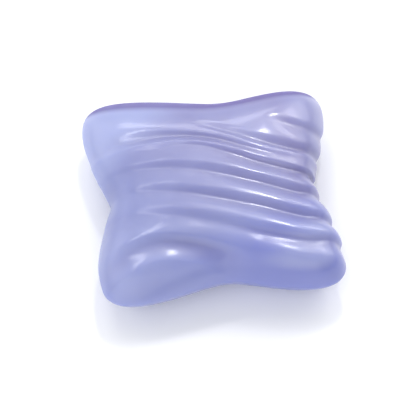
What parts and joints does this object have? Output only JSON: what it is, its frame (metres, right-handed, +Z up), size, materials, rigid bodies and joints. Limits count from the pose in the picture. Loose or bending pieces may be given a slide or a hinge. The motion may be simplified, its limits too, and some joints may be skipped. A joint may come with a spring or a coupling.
{
  "type": "carved gemstone cushion",
  "caption": "Square cushion of polished blue chalcedony with pinched-in sides, S-curved wave flutes carved across its crown and a flat base to rest on.",
  "frame": {"origin": "centre of the plan's bounding box, at the height of the flat base", "axes": "+Z up out of the crown, +Y to the back, and +X to the side where the flutes run down towards the front"},
  "size_m": [0.024, 0.0234, 0.007],
  "materials": {
    "chalcedony": "polished, milky and slightly translucent"
  },
  "bodies": {
    "root": {"chalcedony": "chalcedony"}
  },
  "joints": []
}
